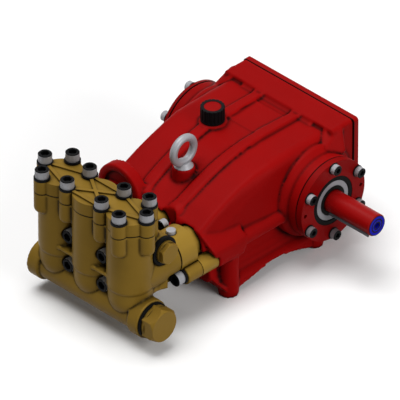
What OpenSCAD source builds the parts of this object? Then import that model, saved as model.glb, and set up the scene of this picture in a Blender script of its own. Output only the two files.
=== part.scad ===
// Triplex high pressure plunger pump: cast crankcase, brass fluid end and a keyed drive shaft.
// The origin is on the floor at the centre of the four feet. +X is the drive end, -Y the fluid end.

/* [Layout] */
// Height of the crankshaft and the plungers above the floor
axis_z = 89; // [86:1:96]
// Crankshaft axis behind the centre of the feet
crank_y = 68; // [66:1:70]
// Valve barrels in front of the centre of the feet
fluid_y = -222; // [-226:1:-218]
// Distance between neighbouring plungers
pitch = 60; // [60:0.5:62]

/* [Crankcase] */
// Half width of the flat top, where the rounded shoulders begin
shoulder_x = 75; // [72:1:78]
// Half width of the rear box and its cover
box_half = 97; // [94:1:100]
// Height of the flat top of the crankcase
top_z = 158; // [154:1:160]
// Rounding of the shoulders at the rear
edge_r = 14; // [10:1:16]
// Rear face of the rear cover
rear_y = 142; // [138:1:146]
// Thickness of the rear cover
rear_t = 8; // [6:1:12]
// Width of the two ribs along the top
rib_w = 13; // [8:1:14]
// Height of those ribs above the skin
rib_h = 4; // [2:0.5:6]
// Distance of those ribs from the middle
rib_x = 32.5; // [28:0.5:36]

/* [Feet] */
// Foot spacing across the pump
foot_x = 170; // [160:2:180]
// Foot spacing along the pump
foot_y = 150; // [140:2:156]
// Radius of a foot
foot_r = 13; // [11:0.5:14]
// Radius of the tapped hole in a foot
foot_hole_r = 5.1; // [4:0.1:6]
// Depth of the tapped hole in a foot
foot_hole_h = 22; // [16:1:26]

/* [Drive end] */
// Outer face of the two bearing covers, from the middle
cover_x = 126; // [122:1:130]
// Radius of the bearing covers
cover_r = 56; // [55:1:60]
// Thickness of the bearing covers
cover_t = 10; // [8:1:12]
// Radius of the circle of cover screws
cover_pcr = 49; // [46:0.5:50]
// Radius of the drive shaft
shaft_r = 15; // [14:0.5:16]
// Drive shaft beyond the cover face
shaft_out = 76; // [60:1:90]
// Angle of the key round the shaft, from +Y
key_angle = -135; // [-180:5:180]

/* [Fluid end] */
// Radius of a valve barrel
barrel_r = 29.5; // [28.5:0.5:30]
// Height of the joint between fluid block and valve plate
joint_z = 166; // [162:1:170]
// Thickness of the valve plate
plate_t = 18; // [14:1:20]
// Radius of a screw boss on the valve plate
boss_r = 10.5; // [10:0.5:11]
// How far a screw boss reaches below the joint
boss_drop = 30; // [20:1:34]
// Radius of the brass plunger housings
housing_r = 28.5; // [27:0.5:29]
// Height of the suction gallery
suction_z = 40; // [38:1:44]
// Radius of the suction gallery
suction_r = 22.5; // [20:0.5:24]

/* [Hidden] */
$fn = 64;
cast_red = [0.66, 0.06, 0.07];
brass = [0.62, 0.47, 0.18];
black = [0.05, 0.05, 0.06];
steel = [0.6, 0.6, 0.62];
overcut = 1;
run_gap = 0.05;

// Crankcase skin: it falls from the flat top to the nose along a power curve
nose_y = -121;
nose_z = 110;
flat_start_y = 24;
box_front_y = 98;
skin_power = 1.82;
nose_r = 8;
function skin_z(y) =
    top_z - (top_z - nose_z) * pow(max(0, flat_start_y - y) / (flat_start_y - nose_y), skin_power);
// The shoulders are tighter over the slope than over the flat top
function shoulder_r(y) = max(nose_r, min(edge_r, edge_r + (y - 2) / 5));
skin_ys = [nose_y + nose_r, -92, -70, -46, -22, 2, flat_start_y, box_front_y];

// Lower case: walls, flared skirts with an arched lower edge, and the rounded front corners
wall_x = 80;
wall_r = 8;
wall_low = 24;
front_y = -104;
waist_z = 84;
waist_r = 6;
waist_rear_x = 94;
waist_front_x = 87;
corner_back = -58;
spine_front = -64;
spine_back = 30;
pad_half = 25.5;
pad_front = 35;
pad_len = 48;
pad_up = 1;

// Rear box and its cover
outline_r = 4.5;
outline_low = 16;
outline_top = 164;
box_inset = 1.5;
lug_r = 3;

// Front of the crankcase
neck_r = 20;
neck_bore_r = 22;
bore_floor_y = -108;
tie_x = 85;
rod_z = 67;
rod_r = 12.5;
rod_hole_r = 6.5;
pocket_x = 24;
pocket_z = 108;
pocket_r = 13;
pocket_back = -115;
arch_z = 106;
arch_r = 37;
arch_in_r = 27.5;
arch_out = 3;
arch_t = 16;
arch_dish = 6;

// Bosses on the top of the crankcase
eye_y = -69;
eye_boss_r = 14.5;
eye_boss_top = 148.4;
eye_ring_z = 171;
fill_x = -32;
fill_y = 14;
fill_boss_r = 17;
fill_boss_top = 161;

// Bearing bores
journal_r = 25;
journal_deep = 60;
seal_out_r = 34;
seal_face_r = 27.5;
seal_deep = 6;
screw_hole_r = 4.2;
jack_hole_r = 2.6;
cover_bore_r = 21;
blind_t = 5;
housing_flare_r = 63;
housing_in_x = 94;

// Fluid end, measured from the barrel axis
chamber_end = 62;
rim_end = 90;
ear_front = 66;
ear_back = 91;
gallery_y = 34;
gallery_z = 121;
gallery_r = 19;
gallery_half = 82;
suction_half = 97;
suction_boss_r = 26;
suction_boss_w = 18;
step_z = 78;
side_screw_dz = 21.5;
screw_face = -9;
side_boss_r = 10;
port_suction_r = 19;
port_discharge_r = 12;
suction_ring_t = 4;
discharge_ring_r = 19.5;
discharge_ring_t = 4.5;
web_front = 25;
web_t = 4;
plug_y = 71;
plug_r = 6;
plug_h = 5;
plug_sink = 1;
plunger_xs = [-pitch, 0, pitch];
// Screws of the valve plate: four shared by two barrels and three round each outer barrel
plate_screws = [
    for (s = [-1, 1]) each [
        [s * pitch / 2, 19.5], [s * pitch / 2, -19.5],
        [s * 67.5, 26.5], [s * 67.5, -26.5], [s * 89, 0]
    ]
];
// Raised ribs on the plate run between these pairs of screws
plate_ribs = [[4, 0], [4, 1], [1, 5], [0, 6], [0, 5], [1, 6], [5, 9], [6, 9]];

// A cylinder from one point along +X
module rod_x(x, y, z, r, h) {
    translate([x, y, z])
        rotate([0, 90, 0])
            cylinder(r = r, h = h);
}

// A cylinder from one point along +Y
module rod_y(x, y, z, r, h) {
    translate([x, y, z])
        rotate([-90, 0, 0])
            cylinder(r = r, h = h);
}

// A polygon of the cross section, given as X and Z, drawn from one Y to another
module section_y(y0, y1) {
    translate([0, y1, 0])
        rotate([90, 0, 0])
            linear_extrude(y1 - y0)
                children();
}

// A polygon of the side view, given as Y and Z, drawn from one X to another
module profile_x(x0, x1) {
    translate([x0, 0, 0])
        rotate([90, 0, 90])
            linear_extrude(x1 - x0)
                children();
}

// The sloping upper body with rounded shoulders and a waist at the height of the shaft
module upper_case() {
    hull() {
        for (s = [-1, 1], y = skin_ys)
            translate([s * shoulder_x, y, skin_z(y) - shoulder_r(y)])
                sphere(r = shoulder_r(y), $fn = 28);
        for (s = [-1, 1]) {
            translate([s * (waist_rear_x - waist_r), 0, waist_z])
                rotate([-90, 0, 0])
                    cylinder(r = waist_r, h = box_front_y, $fn = 28);
            translate([s * (waist_front_x - waist_r), nose_y, waist_z + 4])
                rotate([-90, 0, 0])
                    cylinder(r = waist_r, h = 20, $fn = 28);
        }
    }
}

// The straight walls below the waist
module lower_case() {
    hull()
        for (s = [-1, 1], y = [front_y, box_front_y - 10], z = [wall_low + wall_r, waist_z])
            translate([s * (wall_x - wall_r), y, z])
                rotate([-90, 0, 0])
                    cylinder(r = wall_r, h = 10, $fn = 28);
}

// Half of the flare that carries the feet, cut to an arch between them
module skirt() {
    intersection() {
        section_y(front_y, box_front_y)
            polygon([
                [60, 56], [wall_x, 56], [80.6, 40], [82.4, 31], [85.6, 24.5], [91, 20.5], [94, 17],
                [94, 3], [66, 3], [60, 20]
            ]);
        profile_x(50, 110)
            polygon([
                [front_y, 60], [front_y, 38], [-99, 27], [-92, 17], [-84, 7], [-66, 6], [-56, 9],
                [-42, 11.5], [-24, 15.5], [-6, 17.5], [12, 17], [30, 14], [46, 9.5], [58, 5], [92, 5],
                [box_front_y, 18], [box_front_y, 60]
            ]);
    }
}

// Half of the heavy front corner round one tie rod: its front leans back on the way down
module front_corner() {
    intersection() {
        section_y(nose_y, corner_back)
            polygon([
                [70, 112], [79, 111], [84, 107], [96, 90.5], [99, 85], [100, 80], [100, 65], [98.6, 60.5],
                [95, 58], [70, 56]
            ]);
        profile_x(60, 110)
            polygon([
                [nose_y, 114], [nose_y, 104], [front_y - 2, 62], [front_y, 50], [-66, 50], [-61, 60],
                [-58.5, 70], [corner_back, 84], [-60, 95], [-64, 103], [-70, 109], [-80, 114]
            ]);
    }
}

// Half of the long spine between the front corner and the bearing housing
module spine() {
    section_y(spine_front, spine_back)
        polygon([
            [76, 93], [86, 92], [91, 90.5], [95, 87.5], [98, 83.5], [99.5, 79], [99.5, 74], [98, 70.5],
            [95, 69], [76, 67]
        ]);
}

// Half of the web from the rear box down to the bearing housing
module box_lug() {
    corners = [
        [81, 100, 160], [94.5, 112, 160], [108, 104, 138], [97, 78, 142], [81, 112, 130], [88, 88, 130]
    ];
    hull()
        for (p = corners)
            translate(p) sphere(r = lug_r, $fn = 16);
}

// One rib along the top: it widens towards the nose and ends in a swelling
module top_rib() {
    ys = [for (y = [-110:6:box_front_y + 2]) y];
    intersection() {
        profile_x(10, 50)
            polygon(concat(
                [for (y = ys) [y, skin_z(y) + rib_h]],
                [[ys[len(ys) - 1], top_z - 10], [ys[0], nose_z - 10]]
            ));
        translate([0, 0, nose_z - 20])
            linear_extrude(80)
                polygon([
                    [rib_x - rib_w / 2, box_front_y + 2], [rib_x + rib_w / 2, box_front_y + 2],
                    [rib_x + rib_w / 2 - 1, -60], [rib_x + rib_w / 2 - 3, -112],
                    [rib_x - rib_w / 2 - 5, -112], [rib_x - rib_w / 2 - 4, -60]
                ]);
    }
    translate([rib_x - 4, nose_y + 12, skin_z(nose_y + 12) - 3])
        rotate([26, 0, 0])
            scale([1, 1.2, 0.62])
                sphere(r = 13, $fn = 32);
}

// The shared outline of the rear box and its cover, t thick
module rear_outline(t, half, r) {
    rotate([-90, 0, 0])
        linear_extrude(t)
            hull()
                for (s = [-1, 1], z = [outline_low + r, outline_top - r])
                    translate([s * (half - r), -z]) circle(r = r, $fn = 40);
}

// The rear box, with a ramp up to its top between two square notches
module rear_box() {
    back = rear_y - rear_t;
    ramp_y = [box_front_y - 6, box_front_y + 4];
    translate([0, box_front_y, 0]) rear_outline(back - box_front_y, box_half - box_inset, outline_r);
    profile_x(-60, 60)
        polygon([
            [ramp_y[0], top_z - 8], [ramp_y[0], top_z], [ramp_y[1], outline_top], [ramp_y[1], top_z - 8]
        ]);
}

// The round boss over the plunger farthest from the drive end, with a raised rim
module arch_boss() {
    difference() {
        rod_y(-pitch, nose_y - arch_out, arch_z, arch_r, arch_t);
        rod_y(-pitch, nose_y - arch_out - overcut, arch_z, arch_in_r, arch_dish + overcut);
        rod_y(-pitch, nose_y - arch_out - overcut, axis_z, neck_bore_r, arch_t + 2 * overcut);
        translate([-pitch - arch_r - 1, nose_y - 20, 40])
            cube([2 * arch_r + 2, 60, axis_z + 1 - 40]);
    }
}

// One bearing housing, drawn from its outer face inwards, with a flare where it meets the wall
module bearing_housing() {
    flare_h = 8;
    flare_at = cover_x - cover_t - housing_in_x;
    cylinder(r = cover_r, h = 60);
    translate([0, 0, flare_at - flare_h])
        cylinder(r1 = cover_r, r2 = housing_flare_r, h = flare_h);
    translate([0, 0, flare_at])
        cylinder(r = housing_flare_r, h = 20);
}

// The front wall under the nose, round the three plunger necks
module front_block() {
    section_y(nose_y + 2, front_y + 4)
        polygon([[-78, 60], [-78, 92], [78, 92], [78, 60]]);
}

module crankcase() {
    color(cast_red) {
        difference() {
            union() {
                upper_case();
                lower_case();
                front_block();
                rear_box();
                for (s = [-1, 1]) {
                    translate([s * (cover_x - cover_t), crank_y, axis_z])
                        rotate([0, -s * 90, 0])
                            bearing_housing();
                    mirror([s < 0 ? 1 : 0, 0, 0]) {
                        front_corner();
                        spine();
                        skirt();
                        box_lug();
                        top_rib();
                    }
                }
                translate([-pad_half, pad_front, top_z - 2]) cube([2 * pad_half, pad_len, 2 + pad_up]);
                for (sx = [-1, 1], sy = [-1, 1])
                    translate([sx * foot_x / 2, sy * foot_y / 2, 0])
                        cylinder(r = foot_r, h = 60);
                translate([0, eye_y, 100]) cylinder(r = eye_boss_r, h = eye_boss_top - 100);
                translate([fill_x, fill_y, 120]) cylinder(r = fill_boss_r, h = fill_boss_top - 120);
            }
            for (x = plunger_xs)
                rod_y(x, nose_y - 20, axis_z, neck_bore_r, bore_floor_y - nose_y + 20);
            for (x = [-pocket_x, pocket_x])
                rod_y(x, nose_y - 20, pocket_z, pocket_r, pocket_back - nose_y + 20);
            // Room for the tie rod spacers
            for (s = [-1, 1])
                rod_y(s * tie_x, nose_y - 10, rod_z, rod_r + 4, front_y - nose_y + 10);
            translate([fill_x, fill_y, fill_boss_top]) cylinder(r = fill_boss_r, h = 10);
            rod_x(
                cover_x - cover_t - journal_deep, crank_y, axis_z, journal_r + run_gap,
                journal_deep + 20
            );
            for (sx = [-1, 1], sy = [-1, 1])
                translate([sx * foot_x / 2, sy * foot_y / 2, -overcut])
                    cylinder(r = foot_hole_r, h = foot_hole_h + overcut);
        }
        arch_boss();
    }
}

module rear_cover() {
    color(cast_red)
        translate([0, rear_y - rear_t, 0])
            rear_outline(rear_t, box_half, outline_r);
}

// A bearing cover with its six screw holes and two jack holes
module cover_disc(t) {
    difference() {
        cylinder(r = cover_r, h = t);
        for (a = [30:60:330])
            rotate(a)
                translate([cover_pcr, 0, -overcut]) cylinder(r = screw_hole_r, h = t + 2 * overcut);
        for (a = [0, 180])
            rotate(a)
                translate([cover_pcr, 0, -overcut]) cylinder(r = jack_hole_r, h = t + 2 * overcut);
    }
}

module drive_cover() {
    color(cast_red) difference() {
        translate([cover_x - cover_t, crank_y, axis_z])
            rotate([0, 90, 0])
                rotate(90)
                    cover_disc(cover_t);
        rod_x(cover_x - cover_t - overcut, crank_y, axis_z, cover_bore_r, cover_t + 2 * overcut);
        rod_x(cover_x - seal_deep, crank_y, axis_z, seal_out_r, seal_deep + overcut);
    }
}

module blind_cover() {
    color(cast_red)
        translate([-cover_x + cover_t - blind_t, crank_y, axis_z])
            rotate([0, 90, 0])
                rotate(90)
                    cover_disc(blind_t);
}

module ring_x(x, r_out, r_in, h) {
    difference() {
        rod_x(x, crank_y, axis_z, r_out, h);
        rod_x(x - overcut, crank_y, axis_z, r_in, h + 2 * overcut);
    }
}

module seal_rubber() {
    color(black) ring_x(cover_x - seal_deep, seal_out_r, seal_face_r, 4);
}

module seal_washer() {
    color(steel) ring_x(cover_x - seal_deep, seal_face_r - run_gap, shaft_r + 1, 5);
}

module drive_shaft() {
    end_x = cover_x + shaft_out;
    centre_hole_r = 4.2;
    centre_hole_deep = 24;
    end_chamfer = 1.5;
    color(cast_red) difference() {
        union() {
            rod_x(cover_x - cover_t - journal_deep + 2, crank_y, axis_z, journal_r, journal_deep - 4);
            rod_x(cover_x - cover_t - 4, crank_y, axis_z, shaft_r, shaft_out + cover_t + 4 - end_chamfer);
            translate([end_x - end_chamfer, crank_y, axis_z])
                rotate([0, 90, 0])
                    cylinder(r1 = shaft_r, r2 = shaft_r - end_chamfer, h = end_chamfer);
        }
        rod_x(end_x - centre_hole_deep, crank_y, axis_z, centre_hole_r, centre_hole_deep + overcut);
        key_blank();
    }
}

module key_blank() {
    key_w = 8;
    key_h = 7;
    key_len = 64;
    key_seat = 4;
    key_inset = 5;
    translate([cover_x + shaft_out - key_inset - key_len, crank_y, axis_z])
        rotate([key_angle, 0, 0])
            translate([0, shaft_r - key_seat, -key_w / 2])
                cube([key_len, key_h, key_w]);
}

module shaft_key() {
    color(steel) key_blank();
}

module eye_bolt() {
    ring_mid_r = 17.5;
    ring_tube_r = 5;
    color(steel) {
        translate([0, eye_y, eye_boss_top]) cylinder(r1 = 12.5, r2 = 8, h = 6);
        translate([0, eye_y, eye_ring_z])
            rotate([0, 90, 0])
                rotate_extrude()
                    translate([ring_mid_r, 0]) circle(r = ring_tube_r, $fn = 32);
    }
}

module oil_cap() {
    cap_r = 15.5;
    cap_h = 20;
    dish_r = 11;
    dish_deep = 2;
    flutes = 18;
    color(black) translate([fill_x, fill_y, fill_boss_top]) difference() {
        cylinder(r = cap_r, h = cap_h);
        translate([0, 0, cap_h - dish_deep]) cylinder(r = dish_r, h = dish_deep + overcut);
        for (i = [0:flutes - 1])
            rotate(i * 360 / flutes)
                translate([cap_r + 0.6, 0, 3]) cylinder(r = 1.5, h = cap_h - 3 + overcut, $fn = 16);
    }
}

module oil_cap_disc() {
    disc_r = 11;
    disc_up = 18;
    disc_h = 1.5;
    color(cast_red)
        translate([fill_x, fill_y, fill_boss_top + disc_up])
            cylinder(r = disc_r, h = disc_h);
}

// One valve barrel, stepped and rounded down into the suction gallery
module barrel() {
    low_r = barrel_r - 1.5;
    rotate_extrude()
        polygon(concat(
            [[0, suction_z], [0, joint_z], [barrel_r, joint_z], [barrel_r, step_z], [low_r, step_z - 1.5]],
            [for (a = [0:9:72]) [low_r * (0.45 + 0.55 * cos(a)), step_z - 14 - 24 * sin(a)]]
        ));
}

// A boss round one plate screw, with a tapered and rounded lower end
module screw_boss() {
    rotate_extrude()
        polygon([
            [0, -boss_drop], [boss_r - 5, -boss_drop], [boss_r - 2.4, -boss_drop + 1.2],
            [boss_r - 0.7, -boss_drop + 3.6], [boss_r, -boss_drop + 6.5], [boss_r, 0], [0, 0]
        ]);
}

// The brass body: barrels, plunger sockets, both galleries, screw bosses and the two tie rod ears
module fluid_block() {
    ear_web = 16;
    ear_tip_x = tie_x + 8;
    ear_root_x = 56;
    spacer_clear = 24;
    spacer_clear_r = 11;
    color(brass) difference() {
        translate([0, fluid_y, 0]) union() {
            for (x = plunger_xs) {
                translate([x, 0, 0]) barrel();
                rod_y(x, 0, axis_z, housing_r, chamber_end);
            }
            for (p = plate_screws) translate([p.x, p.y, joint_z]) screw_boss();
            rod_x(-suction_half, 0, suction_z, suction_r, 2 * suction_half);
            for (x = [-suction_half, suction_half - suction_boss_w])
                rod_x(x, 0, suction_z, suction_boss_r, suction_boss_w);
            rod_x(-gallery_half, gallery_y, gallery_z, gallery_r, 2 * gallery_half);
            for (x = [-pitch / 2, pitch / 2])
                translate([x - pitch / 3, -web_front, axis_z]) cube([2 * pitch / 3, web_front, web_t]);
            for (s = [-1, 1]) {
                rod_y(s * tie_x, ear_front, rod_z, rod_r, ear_back - ear_front);
                // Triangular web from the block out to the ear
                translate([0, 0, rod_z - ear_web / 2])
                    linear_extrude(ear_web)
                        polygon([
                            [s * ear_root_x, 10], [s * 80, 30], [s * ear_tip_x, ear_front],
                            [s * ear_tip_x, ear_back - 6], [s * ear_root_x, ear_back - 6]
                        ]);
            }
            translate([-pitch - 20, 0, 60]) cube([2 * pitch + 40, chamber_end, 50]);
        }
        for (s = [-1, 1], dz = [-1, 1])
            rod_y(s * pitch / 2, fluid_y - 40, axis_z + dz * side_screw_dz, side_boss_r, 40 + screw_face);
        for (x = plunger_xs)
            rod_y(x, fluid_y + chamber_end, axis_z, housing_r + run_gap, 40);
        for (s = [-1, 1]) {
            rod_y(
                s * tie_x, fluid_y + ear_front - overcut, rod_z, rod_hole_r,
                ear_back - ear_front + 2 * overcut
            );
            rod_y(s * tie_x, fluid_y + ear_front - spacer_clear, rod_z, spacer_clear_r, spacer_clear);
            // Spot face round the end of the discharge gallery
            rod_x(
                s > 0 ? gallery_half : -gallery_half - 20, fluid_y + gallery_y, gallery_z,
                discharge_ring_r + overcut, 20
            );
        }
        rod_x(-suction_half - overcut, fluid_y, suction_z, port_suction_r, 26 + overcut);
        rod_x(-gallery_half - overcut, fluid_y + gallery_y, gallery_z, port_discharge_r, 20 + overcut);
    }
}

module valve_plate() {
    rib_up = 2.2;
    rib_across = 4.4;
    color(brass) translate([0, fluid_y, joint_z]) {
        for (x = plunger_xs) translate([x, 0, 0]) cylinder(r = barrel_r, h = plate_t);
        for (p = plate_screws) translate([p.x, p.y, 0]) cylinder(r = boss_r, h = plate_t);
        translate([-pitch, -19.5, 0]) cube([2 * pitch, 39, plate_t]);
        for (pair = plate_ribs) {
            from = plate_screws[pair[0]];
            to = plate_screws[pair[1]];
            run = to - from;
            translate([from.x, from.y, plate_t - overcut])
                rotate(atan2(run.y, run.x))
                    translate([0, -rib_across / 2, 0])
                        cube([norm(run), rib_across, rib_up + overcut]);
        }
    }
}

// A hexagon plug with a flange, its outer corners turned off by a chamfer
module hex_plug(x, y, z, flange_r, hex_r, h) {
    flange_h = 4;
    flat_share = 0.86;
    translate([x, y, z])
        rotate([0, 90, 0]) {
            cylinder(r = flange_r, h = flange_h);
            intersection() {
                cylinder(r = hex_r, h = h, $fn = 6);
                cylinder(r1 = hex_r + 10, r2 = hex_r * flat_share, h = h);
            }
        }
}

module suction_plug() {
    color(brass) hex_plug(suction_half + suction_ring_t, fluid_y, suction_z, 22, 24, 19);
}

module suction_seal() {
    color(black) rod_x(suction_half, fluid_y, suction_z, 24, suction_ring_t);
}

module discharge_plug() {
    color(brass)
        hex_plug(gallery_half + discharge_ring_t, fluid_y + gallery_y, gallery_z, 15, 15, 10);
}

module discharge_seal() {
    color(black)
        rod_x(gallery_half, fluid_y + gallery_y, gallery_z, discharge_ring_r, discharge_ring_t);
}

module plunger_housing(i) {
    x = plunger_xs[i - 1];
    color(brass) difference() {
        union() {
            rod_y(x, fluid_y + chamber_end, axis_z, housing_r, rim_end - chamber_end);
            rod_y(x, fluid_y + rim_end, axis_z, neck_r, bore_floor_y - fluid_y - rim_end);
        }
        translate([x, fluid_y + plug_y, axis_z + housing_r - plug_sink])
            cylinder(r = plug_r + 1, h = plug_sink + overcut);
    }
}

module housing_plug(i) {
    color(steel)
        translate([plunger_xs[i - 1], fluid_y + plug_y, axis_z + housing_r - plug_sink])
            cylinder(r = plug_r, h = plug_h);
}

module tie_spacer(s) {
    len = front_y - fluid_y - ear_back;
    color(brass) difference() {
        rod_y(s * tie_x, fluid_y + ear_back, rod_z, rod_r, len);
        rod_y(s * tie_x, fluid_y + ear_back - overcut, rod_z, rod_hole_r, len + 2 * overcut);
    }
}

crankcase();
rear_cover();
drive_cover();
blind_cover();
seal_rubber();
seal_washer();
eye_bolt();
oil_cap();
oil_cap_disc();
fluid_block();
valve_plate();
suction_plug();
suction_seal();
discharge_plug();
discharge_seal();
plunger_housing(1);  // plunger_housing_1
plunger_housing(2);  // plunger_housing_2
plunger_housing(3);  // plunger_housing_3
housing_plug(1);  // housing_plug_1
housing_plug(2);  // housing_plug_2
housing_plug(3);  // housing_plug_3
tie_spacer(-1);  // tie_spacer_left
tie_spacer(1);  // tie_spacer_right
drive_shaft();
shaft_key();
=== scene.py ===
import math

import bmesh
import bpy
from mathutils import Matrix, Vector


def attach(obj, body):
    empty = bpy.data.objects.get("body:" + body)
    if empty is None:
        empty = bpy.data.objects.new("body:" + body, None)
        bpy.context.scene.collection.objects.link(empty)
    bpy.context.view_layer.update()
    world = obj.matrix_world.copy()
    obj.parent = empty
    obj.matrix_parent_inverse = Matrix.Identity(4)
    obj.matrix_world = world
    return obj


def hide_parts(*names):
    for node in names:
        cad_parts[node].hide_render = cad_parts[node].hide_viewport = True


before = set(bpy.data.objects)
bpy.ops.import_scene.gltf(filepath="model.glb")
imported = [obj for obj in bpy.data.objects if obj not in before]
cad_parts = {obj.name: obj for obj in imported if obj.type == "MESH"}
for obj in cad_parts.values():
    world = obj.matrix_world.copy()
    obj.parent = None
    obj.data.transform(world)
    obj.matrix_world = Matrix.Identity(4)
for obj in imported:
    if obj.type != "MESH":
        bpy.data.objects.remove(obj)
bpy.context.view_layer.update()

MM = 0.001

# Camera: an isometric view from the drive side and the fluid end, through a very long lens
VIEW_AZIMUTH = 45.0
VIEW_ELEVATION = 35.26
VIEW_WIDTH = 0.500
LENS = 1200.0
SENSOR = 36.0
# Where the floor point under the feet's centre lies in the 400 px picture
ORIGIN_PX = (222.7, 239.8)
PICTURE_PX = 400.0

# Stage: floor and world have one grey for the camera and mirrors, and a darker one for the light
FLOOR_SIZE = 14.0
FLOOR_SEEN = 0.97
FLOOR_LIGHTS = 0.22
WORLD_SEEN = 1.0
WORLD_LIGHTS = 0.18
# Name, place in metres, power in watts, size in metres
LIGHTS = (
    ("key_light", (-1.0, -0.6, 6.0), 350.0, 4.4),
    ("front_light", (0.2, -2.6, 1.2), 1.5, 1.6),
    ("side_light", (2.6, 0.0, 1.2), 40.0, 1.4),
)

# Axes, faces that carry the fasteners, and the shaft end, in millimetres, in the part's frame
AXIS_Z = 89.0
CRANK_Y = 68.0
FLUID_Y = -222.0
PLATE_TOP = 184.0
DRIVE_COVER_X = 126.0
BLIND_COVER_X = -121.0
TIE_SEAT_Y = -156.0
SIDE_SEAT_Y = -231.0
REAR_Y = 142.0
SHAFT_END_X = 202.0
SHAFT_HOLE_R = 4.2
SHAFT_HOLE_DEEP = 32.0
SEAL_X = 124.0
LIP_X = 125.0

# Places of the screws on those faces
PLATE_SCREWS = [
    (side * x, FLUID_Y + y)
    for side in (-1, 1)
    for x, y in ((30, 19.5), (30, -19.5), (67.5, 26.5), (67.5, -26.5), (89, 0))
]
SIDE_SCREWS = [(x, AXIS_Z + dz) for x in (-30.0, 30.0) for dz in (-21.5, 21.5)]
TIE_X = 85.0
TIE_Z = 67.0
FRONT_SCREW = (30.0, -131.0, 107.0)
COVER_SCREWS_R = 49.0
COVER_ANGLES = (30, 90, 150, 210, 270, 330)
REAR_SCREWS = [(x, z) for x in (-76, -38, 0, 38, 76) for z in (32, 138)] + [(x, 85) for x in (-76, 76)]

# Screws: head radius, head height, socket across flats
BIG_SCREW = (9.0, 11.5, 10.0)
MIDDLE_SCREW = (6.8, 7.5, 6.0)
SMALL_SCREW = (6.4, 9.0, 6.0)
# Washers: outer radius, inner radius, thickness
BIG_WASHER = (10.5, 6.0, 3.0)
MIDDLE_WASHER = (7.8, 4.2, 1.2)

# Rings of the shaft seal and of the shaft end: outer radius, inner radius, thickness, paint, X
SEAL_RINGS = (
    ("seal_rim", 33.8, 28.4, 1.8, "rubber", SEAL_X),
    ("seal_lip", 20.6, 16.1, 0.8, "rubber", LIP_X),
)
SHAFT_RINGS = (
    ("shaft_ring_edge", 13.9, 13.0, 0.5, "black", SHAFT_END_X),
    ("shaft_ring_outer", 13.0, 9.8, 0.5, "blue", SHAFT_END_X),
    # The black rings at the groove and at the mouth of the centre hole are painted shade
    ("shaft_ring_groove_shade", 9.8, 7.8, 0.45, "black", SHAFT_END_X),
    ("shaft_ring_inner", 7.8, 5.8, 0.5, "blue", SHAFT_END_X),
    ("shaft_ring_mouth_shade", 5.8, 4.3, 0.45, "black", SHAFT_END_X),
)

# Castings: size of the remeshing grid in millimetres and passes of smoothing
CRANKCASE_VOXEL = 1.8
CRANKCASE_PASSES = 3
FLUID_VOXEL = 1.4
FLUID_PASSES = 3

# Dark joint lines where two pieces meet: axis and place in millimetres
RED_SEAMS = (("X", 116.0), ("X", -116.0), ("Y", 134.0))
BRASS_SEAMS = (("Z", 166.0), ("Y", -160.0))
SEAM_HALF = 1.2
SEAM_DARK = 0.06
SEAM_RAMP = (0.6, 1.0)

# Tone and finish that all surfaces share, with the ramps of the painted shade in crevices and in concave
# corners
PATCH_SCALE = 14.0
PATCH_DETAIL = 5.0
PATCH_RAMP = (0.3, 0.7)
CREVICE_SHADE_SAMPLES = 8
CREVICE_SHADE_RAMP = (0.40, 0.92)
CORNER_SHADE_RAMP = (0.47, 0.4985)
ROUGHNESS_SCALE = 40.0
ROUGHNESS_SWING = 0.06
FINE_DETAIL = 3.0
EDGE_SAMPLES = 6

RED = (0.27, 0.0022, 0.0022)
# A darker copy of the red: painted shade for the end covers
SHADED_RED = (0.215, 0.0020, 0.0020)
SHAFT_RED = (0.28, 0.0025, 0.0025)
YELLOW = (0.226, 0.133, 0.018)
BRIGHT_YELLOW = (0.29, 0.174, 0.025)

SMOOTH_PAINT = {
    "roughness": 0.44, "specular": 0.04, "patches": 0.05, "grain": (1200.0, 0.015), "edge_mm": 0.7,
    "crevice_shade": (4.0, 0.16), "seams": RED_SEAMS,
}
CAST_BRASS = {
    "roughness": 0.40, "metallic": 0.18, "specular": 0.05, "patches": 0.10, "grain": (800.0, 0.03),
    "edge_mm": 0.8, "seams": BRASS_SEAMS,
}
TURNED_BRASS = {
    "metallic": 0.2, "specular": 0.06, "patches": 0.06, "grain": (300.0, 0.012), "edge_mm": 0.6,
    "crevice_shade": (5.0, 0.12),
}
FINE_STEEL = {"patches": 0.08, "grain": (1500.0, 0.01), "edge_mm": 0.4}
# Reach in millimetres and tone of the painted shade in the crevices of steel parts
STEEL_CREVICE_SHADE = (3.0, 0.25)

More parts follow.
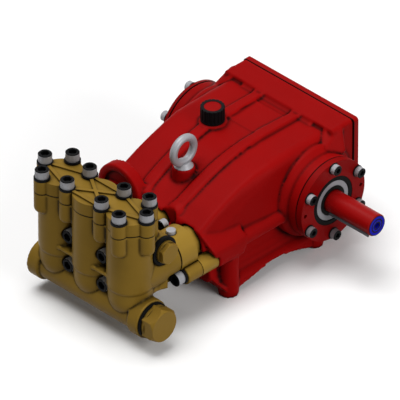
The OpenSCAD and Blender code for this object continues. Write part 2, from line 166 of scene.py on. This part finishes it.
# What surface() is called with for each paint
PAINTS = {
    "cast_red": {
        "colour": RED, "roughness": 0.52, "specular": 0.035, "patches": 0.07, "grain": (700.0, 0.06),
        "edge_mm": 0.8, "crevice_shade": (9.0, 0.14), "corner_shade": 0.10, "seams": RED_SEAMS,
    },
    "plain_red": {"colour": RED, **SMOOTH_PAINT},
    "shaded_cover_red": {"colour": SHADED_RED, **SMOOTH_PAINT},
    "shaft_red": {
        "colour": SHAFT_RED, "roughness": 0.36, "specular": 0.08, "patches": 0.05, "grain": (1500.0, 0.01),
        "edge_mm": 0.5, "crevice_shade": (3.0, 0.2),
    },
    "brass": {"colour": YELLOW, "crevice_shade": (9.0, 0.08), "corner_shade": 0.08, **CAST_BRASS},
    "plate_brass": {"colour": YELLOW, "crevice_shade": (6.0, 0.08), **CAST_BRASS},
    "turned_brass": {"colour": BRIGHT_YELLOW, "roughness": 0.34, "seams": BRASS_SEAMS, **TURNED_BRASS},
    "plug_brass": {"colour": YELLOW, "roughness": 0.36, **TURNED_BRASS},
    "steel": {
        "colour": (0.34, 0.34, 0.36), "roughness": 0.38, "metallic": 0.25, "specular": 0.3,
        "crevice_shade": STEEL_CREVICE_SHADE, **FINE_STEEL,
    },
    "eye_steel": {
        "colour": (0.33, 0.33, 0.35), "roughness": 0.42, "metallic": 0.2, "specular": 0.3,
        "crevice_shade": STEEL_CREVICE_SHADE, **FINE_STEEL,
    },
    # A lighter copy of the steel, with no ambient occlusion darkening: painted light for the side screws,
    # which sit in shade between the barrels
    "lit_side_steel": {
        "colour": (0.52, 0.52, 0.54), "roughness": 0.42, "metallic": 0.2, "specular": 0.4, **FINE_STEEL,
    },
    "dark_steel": {
        "colour": (0.05, 0.05, 0.055), "roughness": 0.36, "metallic": 0.2, "specular": 0.2,
        "crevice_shade": STEEL_CREVICE_SHADE, **FINE_STEEL,
    },
    "grey_ring": {
        "colour": (0.27, 0.27, 0.29), "roughness": 0.40, "metallic": 0.1, "specular": 0.2,
        "crevice_shade": (2.0, 0.3), **FINE_STEEL,
    },
    "black": {
        "colour": (0.003, 0.003, 0.0035), "roughness": 0.5, "specular": 0.06, "patches": 0.2,
        "grain": (1500.0, 0.01), "edge_mm": 0.4,
    },
    "rubber": {
        "colour": (0.004, 0.004, 0.004), "roughness": 0.65, "specular": 0.05, "patches": 0.2,
        "grain": (900.0, 0.02), "edge_mm": 0.5,
    },
    "blue": {
        "colour": (0.008, 0.008, 0.42), "roughness": 0.45, "specular": 0.05, "patches": 0.06,
        "grain": (1200.0, 0.01), "edge_mm": 0.3,
    },
}

NODE_PAINT = {
    "crankcase": "cast_red",
    "rear_cover": "plain_red",
    "oil_cap_disc": "plain_red",
    # The end covers take the darker copy of the red, which is painted shade
    "drive_cover": "shaded_cover_red",
    "blind_cover": "shaded_cover_red",
    "drive_shaft": "shaft_red",
    "fluid_block": "brass",
    "valve_plate": "plate_brass",
    "suction_plug": "plug_brass",
    "discharge_plug": "plug_brass",
    "plunger_housing_1": "turned_brass",
    "plunger_housing_2": "turned_brass",
    "plunger_housing_3": "turned_brass",
    "tie_spacer_left": "turned_brass",
    "tie_spacer_right": "turned_brass",
    "housing_plug_1": "steel",
    "housing_plug_2": "steel",
    "housing_plug_3": "steel",
    "eye_bolt": "eye_steel",
    "shaft_key": "dark_steel",
    "seal_washer": "grey_ring",
    "seal_rubber": "rubber",
    "suction_seal": "rubber",
    "discharge_seal": "rubber",
    "oil_cap": "black",
}


def make_camera():
    azimuth = math.radians(VIEW_AZIMUTH)
    elevation = math.radians(VIEW_ELEVATION)
    flat = math.cos(elevation)
    back = Vector((math.sin(azimuth) * flat, -math.cos(azimuth) * flat, math.sin(elevation)))
    right = Vector((math.cos(azimuth), math.sin(azimuth), 0.0))
    up = back.cross(right)
    metres_per_px = VIEW_WIDTH / PICTURE_PX
    target = right * (PICTURE_PX / 2 - ORIGIN_PX[0]) * metres_per_px
    target += up * (ORIGIN_PX[1] - PICTURE_PX / 2) * metres_per_px
    distance = VIEW_WIDTH * LENS / SENSOR
    data = bpy.data.cameras.new("camera")
    data.lens = LENS
    data.sensor_width = SENSOR
    data.clip_start = 0.1
    data.clip_end = distance * 4
    camera = bpy.data.objects.new("camera", data)
    bpy.context.scene.collection.objects.link(camera)
    camera.location = target + back * distance
    camera.rotation_mode = "QUATERNION"
    camera.rotation_quaternion = (-back).to_track_quat("-Z", "Y")
    bpy.context.scene.camera = camera


def area_light(name, place, power, size):
    data = bpy.data.lights.new(name, "AREA")
    data.energy = power
    data.size = size
    light = bpy.data.objects.new(name, data)
    bpy.context.scene.collection.objects.link(light)
    light.location = place
    light.rotation_mode = "QUATERNION"
    light.rotation_quaternion = (-Vector(place)).to_track_quat("-Z", "Y")


def grey(level):
    return (level, level, level, 1.0)


def two_levels(tree, seen, lights):
    """A grey for what the camera and mirrors see, and another for the light that it throws back."""
    rays = tree.nodes.new("ShaderNodeLightPath")
    straight = tree.nodes.new("ShaderNodeMix")
    straight.data_type = "RGBA"
    straight.inputs["A"].default_value = grey(lights)
    straight.inputs["B"].default_value = grey(seen)
    factor = rays.outputs["Is Camera Ray"]
    for ray in ("Is Glossy Ray", "Is Transmission Ray"):
        either = tree.nodes.new("ShaderNodeMath")
        either.operation = "MAXIMUM"
        tree.links.new(factor, either.inputs[0])
        tree.links.new(rays.outputs[ray], either.inputs[1])
        factor = either.outputs[0]
    tree.links.new(factor, straight.inputs["Factor"])
    return straight.outputs["Result"]


def make_world():
    world = bpy.data.worlds.new("world")
    world.use_nodes = True
    tree = world.node_tree
    tree.links.new(two_levels(tree, WORLD_SEEN, WORLD_LIGHTS), tree.nodes["Background"].inputs["Color"])
    bpy.context.scene.world = world


def make_stage():
    bpy.ops.mesh.primitive_plane_add(size=FLOOR_SIZE, location=(0, 0, 0))
    floor = bpy.context.object
    floor.name = "floor"
    white = bpy.data.materials.new("floor_white")
    white.use_nodes = True
    tree = white.node_tree
    shader = tree.nodes["Principled BSDF"]
    shader.inputs["Roughness"].default_value = 0.95
    shader.inputs["Specular IOR Level"].default_value = 0.0
    tree.links.new(two_levels(tree, FLOOR_SEEN, FLOOR_LIGHTS), shader.inputs["Base Color"])
    floor.data.materials.append(white)
    for name, place, power, size in LIGHTS:
        area_light(name, place, power, size)
    make_world()


class Nodes:
    """Short ways to add and join the nodes of one material."""

    def __init__(self, name):
        self.material = bpy.data.materials.new(name)
        self.material.use_nodes = True
        self.tree = self.material.node_tree
        self.shader = self.tree.nodes["Principled BSDF"]

    def add(self, kind, **values):
        node = self.tree.nodes.new(kind)
        for key, value in values.items():
            if key in node.inputs:
                node.inputs[key].default_value = value
            else:
                setattr(node, key, value)
        return node

    def join(self, source, target):
        self.tree.links.new(source, target)

    def object_place(self):
        return self.add("ShaderNodeTexCoord").outputs["Object"]

    def noise(self, scale, detail):
        noise = self.add("ShaderNodeTexNoise", Scale=scale, Detail=detail)
        self.join(self.object_place(), noise.inputs["Vector"])
        return noise.outputs["Fac"]

    def ramp(self, source, low, high, places):
        node = self.add("ShaderNodeValToRGB")
        for element, colour, place in zip(node.color_ramp.elements, (low, high), places):
            element.position = place
            element.color = (*colour, 1)
        self.join(source, node.inputs["Fac"])
        return node.outputs["Color"]

    def darken(self, colour, source, dark, places):
        """The colour times a grey, which goes from dark to white as the source goes up the ramp."""
        mix = self.add("ShaderNodeMix", data_type="RGBA", blend_type="MULTIPLY", Factor=1.0)
        self.join(colour, mix.inputs["A"])
        self.join(self.ramp(source, (dark,) * 3, (1, 1, 1), places), mix.inputs["B"])
        return mix.outputs["Result"]

    def seam_distance(self, axis, place_mm):
        """How far a point is from a joint across one axis, in half widths of the joint line."""
        split = self.add("ShaderNodeSeparateXYZ")
        self.join(self.object_place(), split.inputs["Vector"])
        away = self.add("ShaderNodeMath", operation="SUBTRACT")
        self.join(split.outputs[axis], away.inputs[0])
        away.inputs[1].default_value = place_mm * MM
        size = self.add("ShaderNodeMath", operation="ABSOLUTE")
        self.join(away.outputs[0], size.inputs[0])
        scaled = self.add("ShaderNodeMath", operation="DIVIDE")
        self.join(size.outputs[0], scaled.inputs[0])
        scaled.inputs[1].default_value = SEAM_HALF * MM
        return scaled.outputs[0]


def surface(
    name, colour, roughness, specular, patches, grain, edge_mm, metallic=0.0, crevice_shade=None, corner_shade=None,
    seams=()
):
    """A painted or metal surface: soft patches of tone, a fine grain, worn edges, and painted shade that
    darkens its crevices and concave corners.

    grain is its scale and its depth in millimetres, crevice its reach in millimetres and its tone.
    """
    n = Nodes(name)
    low = tuple(c * (1 - patches) for c in colour)
    high = tuple(min(1.0, c * (1 + patches)) for c in colour)
    tone = n.ramp(n.noise(PATCH_SCALE, PATCH_DETAIL), low, high, PATCH_RAMP)
    # Painted shade: the colour goes darker in crevices, as far as the ambient occlusion reaches.
    if crevice_shade:
        reach_mm, dark = crevice_shade
        ao = n.add("ShaderNodeAmbientOcclusion", Distance=reach_mm * MM, samples=CREVICE_SHADE_SAMPLES)
        tone = n.darken(tone, ao.outputs["AO"], dark, CREVICE_SHADE_RAMP)
    # Painted shade: the colour goes darker in concave corners, read from the mesh's pointiness.
    if corner_shade:
        bend = n.add("ShaderNodeNewGeometry").outputs["Pointiness"]
        tone = n.darken(tone, bend, corner_shade, CORNER_SHADE_RAMP)
    for axis, place_mm in seams:
        tone = n.darken(tone, n.seam_distance(axis, place_mm), SEAM_DARK, SEAM_RAMP)
    n.join(tone, n.shader.inputs["Base Color"])
    rough = n.add("ShaderNodeMapRange")
    rough.inputs["To Min"].default_value = roughness - ROUGHNESS_SWING
    rough.inputs["To Max"].default_value = roughness + ROUGHNESS_SWING
    n.join(n.noise(ROUGHNESS_SCALE, FINE_DETAIL), rough.inputs["Value"])
    n.join(rough.outputs["Result"], n.shader.inputs["Roughness"])
    n.shader.inputs["Metallic"].default_value = metallic
    n.shader.inputs["Specular IOR Level"].default_value = specular
    bevel = n.add("ShaderNodeBevel", Radius=edge_mm * MM, samples=EDGE_SAMPLES)
    grain_scale, grain_mm = grain
    bump = n.add("ShaderNodeBump", Strength=1.0, Distance=grain_mm * MM)
    n.join(n.noise(grain_scale, FINE_DETAIL), bump.inputs["Height"])
    n.join(bevel.outputs["Normal"], bump.inputs["Normal"])
    n.join(bump.outputs["Normal"], n.shader.inputs["Normal"])
    return n.material


def dress(obj, *materials):
    obj.data.materials.clear()
    for material in materials:
        obj.data.materials.append(material)


def paint_shaft_end(shaft):
    """Blue on the end face of the shaft and inside its centre hole."""
    dress(shaft, PAINT["shaft_red"], PAINT["blue"])
    end_x = SHAFT_END_X - 0.1
    reach_r = SHAFT_HOLE_R + 1.0
    for face in shaft.data.polygons:
        centre = shaft.matrix_world @ face.center / MM
        off_axis = math.hypot(centre.y - CRANK_Y, centre.z - AXIS_Z)
        on_end = centre.x > end_x
        in_hole = off_axis < reach_r and centre.x > SHAFT_END_X - SHAFT_HOLE_DEEP
        if on_end or in_hole:
            face.material_index = 1


def smooth_casting(name, voxel_mm, passes, slot):
    """A copy of a cast node with its corners run out into soft fillets, shown in its place.

    Its slot and its paint have the same name.
    """
    casting = bpy.data.objects.new(name + "_casting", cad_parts[name].data.copy())
    bpy.context.scene.collection.objects.link(casting)
    remesh = casting.modifiers.new("remesh", "REMESH")
    remesh.mode = "VOXEL"
    remesh.voxel_size = voxel_mm * MM
    remesh.use_smooth_shade = True
    smooth = casting.modifiers.new("smooth", "SMOOTH")
    smooth.factor = 0.5
    smooth.iterations = passes
    depsgraph = bpy.context.evaluated_depsgraph_get()
    done = bpy.data.meshes.new_from_object(casting.evaluated_get(depsgraph))
    casting.modifiers.clear()
    casting.data = done
    dress(casting, PAINT[slot])
    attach(casting, "pump")
    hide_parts(name)


def add_ring(mesh, steps, z, radius_at):
    """A closed row of points round the Z axis; radius_at gives the radius in mm for each step."""
    row = []
    for i in range(steps):
        angle = 2 * math.pi * i / steps
        radius = radius_at(i, angle)
        row.append(mesh.verts.new((radius * math.cos(angle) * MM, radius * math.sin(angle) * MM, z * MM)))
    return row


def join_rings(mesh, lower, upper, material_index=0):
    for i, corner in enumerate(lower):
        j = (i + 1) % len(lower)
        mesh.faces.new((corner, lower[j], upper[j], upper[i])).material_index = material_index


def finish_mesh(mesh, name, *paints):
    data = bpy.data.meshes.new(name)
    mesh.to_mesh(data)
    mesh.free()
    for paint in paints:
        data.materials.append(PAINT[paint])
    return data


def socket_screw(name, size, paint, knurls=36):
    """A screw seated at the origin, its head along +Z: knurled rim, chamfer and hexagon socket."""
    head_r, head_h, across_flats = size
    chamfer = head_r * 0.10
    knurl_depth = head_r * 0.035
    socket_z = head_h * 0.5
    socket_tip = head_r * 0.15
    socket_edge = 0.35
    hex_r = across_flats / math.sqrt(3)
    flat = math.pi / 6

    def round_at(radius):
        return lambda i, angle: radius

    def knurl(i, angle):
        return head_r - (0.0 if i % 2 else knurl_depth)

    def hexagon(i, angle):
        return hex_r * math.cos(flat) / math.cos((angle + flat) % (2 * flat) - flat)

    def hexagon_edge(i, angle):
        return hexagon(i, angle) + socket_edge

    side = [
        (0.0, round_at(head_r * 0.97)),
        (head_h * 0.04, knurl),
        (head_h * 0.80, knurl),
        (head_h * 0.84, round_at(head_r)),
        (head_h - chamfer, round_at(head_r)),
    ]
    top = [
        (head_h, round_at(head_r - chamfer)),
        (head_h, hexagon_edge),
        (head_h - socket_edge, hexagon),
        (head_h - socket_z, hexagon),
        (head_h - socket_z - socket_tip, round_at(hex_r * 0.2)),
    ]
    mesh = bmesh.new()
    rings = [add_ring(mesh, knurls * 2, z, radius_at) for z, radius_at in side + top]
    for row, (lower, upper) in enumerate(zip(rings, rings[1:])):
        join_rings(mesh, lower, upper, 0 if row < len(side) - 1 else 1)
    mesh.faces.new(list(reversed(rings[0]))).material_index = 0
    mesh.faces.new(rings[-1]).material_index = 1
    return finish_mesh(mesh, name, paint, "black")


def washer(name, out_r, in_r, thick, paint):
    """A flat ring round the Z axis, from the origin up, with broken edges."""
    steps = 64
    edge = min(0.3, thick * 0.25)
    profile = [
        (in_r, 0), (out_r - edge, 0), (out_r, edge),
        (out_r, thick - edge), (out_r - edge, thick), (in_r, thick),
    ]
    mesh = bmesh.new()
    rows = [add_ring(mesh, steps, z, lambda i, angle, radius=radius: radius) for radius, z in profile]
    for lower, upper in zip(rows, rows[1:] + rows[:1]):
        join_rings(mesh, lower, upper)
    return finish_mesh(mesh, name, paint)


def put(name, data, place_mm, direction, body="pump", turn=0.0):
    obj = bpy.data.objects.new(name, data)
    bpy.context.scene.collection.objects.link(obj)
    facing = Vector(direction).to_track_quat("Z", "Y").to_matrix().to_4x4()
    spin = Matrix.Rotation(math.radians(turn), 4, "Z")
    obj.matrix_world = Matrix.Translation(Vector(place_mm) * MM) @ facing @ spin
    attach(obj, body)


def add_screws():
    """The socket head screws and their washers, with most of the sockets turned by other angles."""
    big = socket_screw("screw_big", BIG_SCREW, "steel")
    # The side screws take the lighter copy of the steel, which is painted light
    lit_side_screw = socket_screw("screw_side", BIG_SCREW, "lit_side_steel")
    middle = socket_screw("screw_middle", MIDDLE_SCREW, "steel")
    small = socket_screw("screw_small", SMALL_SCREW, "steel", 28)
    big_ring = washer("washer_big", *BIG_WASHER, "black")
    middle_ring = washer("washer_middle", *MIDDLE_WASHER, "black")
    big_t = BIG_WASHER[2]
    middle_t = MIDDLE_WASHER[2]
    up, front, rear = (0, 0, 1), (0, -1, 0), (0, 1, 0)
    for i, (x, y) in enumerate(PLATE_SCREWS):
        put(f"plate_washer_{i + 1}", big_ring, (x, y, PLATE_TOP), up)
        put(f"plate_screw_{i + 1}", big, (x, y, PLATE_TOP + big_t), up, turn=17.0 * i)
    for i, (x, z) in enumerate(SIDE_SCREWS):
        put(f"side_screw_{i + 1}", lit_side_screw, (x, SIDE_SEAT_Y, z), front, turn=23.0 * i)
    front_x, front_y, front_z = FRONT_SCREW
    for i, side in enumerate((-1, 1)):
        put(f"tie_washer_{i + 1}", big_ring, (side * TIE_X, TIE_SEAT_Y, TIE_Z), front)
        put(f"tie_screw_{i + 1}", big, (side * TIE_X, TIE_SEAT_Y - big_t, TIE_Z), front, turn=11.0 * i)
        put(f"front_screw_{i + 1}", small, (side * front_x, front_y, front_z), front)
    for face_x, cover in ((DRIVE_COVER_X, "drive"), (BLIND_COVER_X, "blind")):
        out = (face_x, 0, 0)
        seat_x = face_x + math.copysign(middle_t, face_x)
        for i, angle in enumerate(COVER_ANGLES):
            y = CRANK_Y + COVER_SCREWS_R * math.cos(math.radians(angle))
            z = AXIS_Z + COVER_SCREWS_R * math.sin(math.radians(angle))
            put(f"{cover}_washer_{i + 1}", middle_ring, (face_x, y, z), out)
            put(f"{cover}_screw_{i + 1}", middle, (seat_x, y, z), out, turn=9.0 * i)
    for i, (x, z) in enumerate(REAR_SCREWS):
        put(f"rear_screw_{i + 1}", small, (x, REAR_Y, z), rear, turn=13.0 * i)


def add_rings():
    """The lips of the shaft seal, and the painted rings round the centre hole of the shaft, where the black
    groove and mouth rings are painted shade.
    """
    for rings, body, slot in ((SEAL_RINGS, "pump", "rubber"), (SHAFT_RINGS, "crankshaft", "shaft_red")):
        for name, out_r, in_r, thick, paint, x in rings:
            ring = washer(name, out_r, in_r, thick, paint)
            put(name, ring, (x, CRANK_Y, AXIS_Z), (1, 0, 0), body)


make_camera()
make_stage()
bpy.context.scene.view_settings.view_transform = "Standard"
PAINT = {name: surface(name, **values) for name, values in PAINTS.items()}
for name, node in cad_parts.items():
    dress(node, PAINT[NODE_PAINT[name]])
paint_shaft_end(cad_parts["drive_shaft"])
smooth_casting("crankcase", CRANKCASE_VOXEL, CRANKCASE_PASSES, "cast_red")
smooth_casting("fluid_block", FLUID_VOXEL, FLUID_PASSES, "brass")
add_screws()
add_rings()
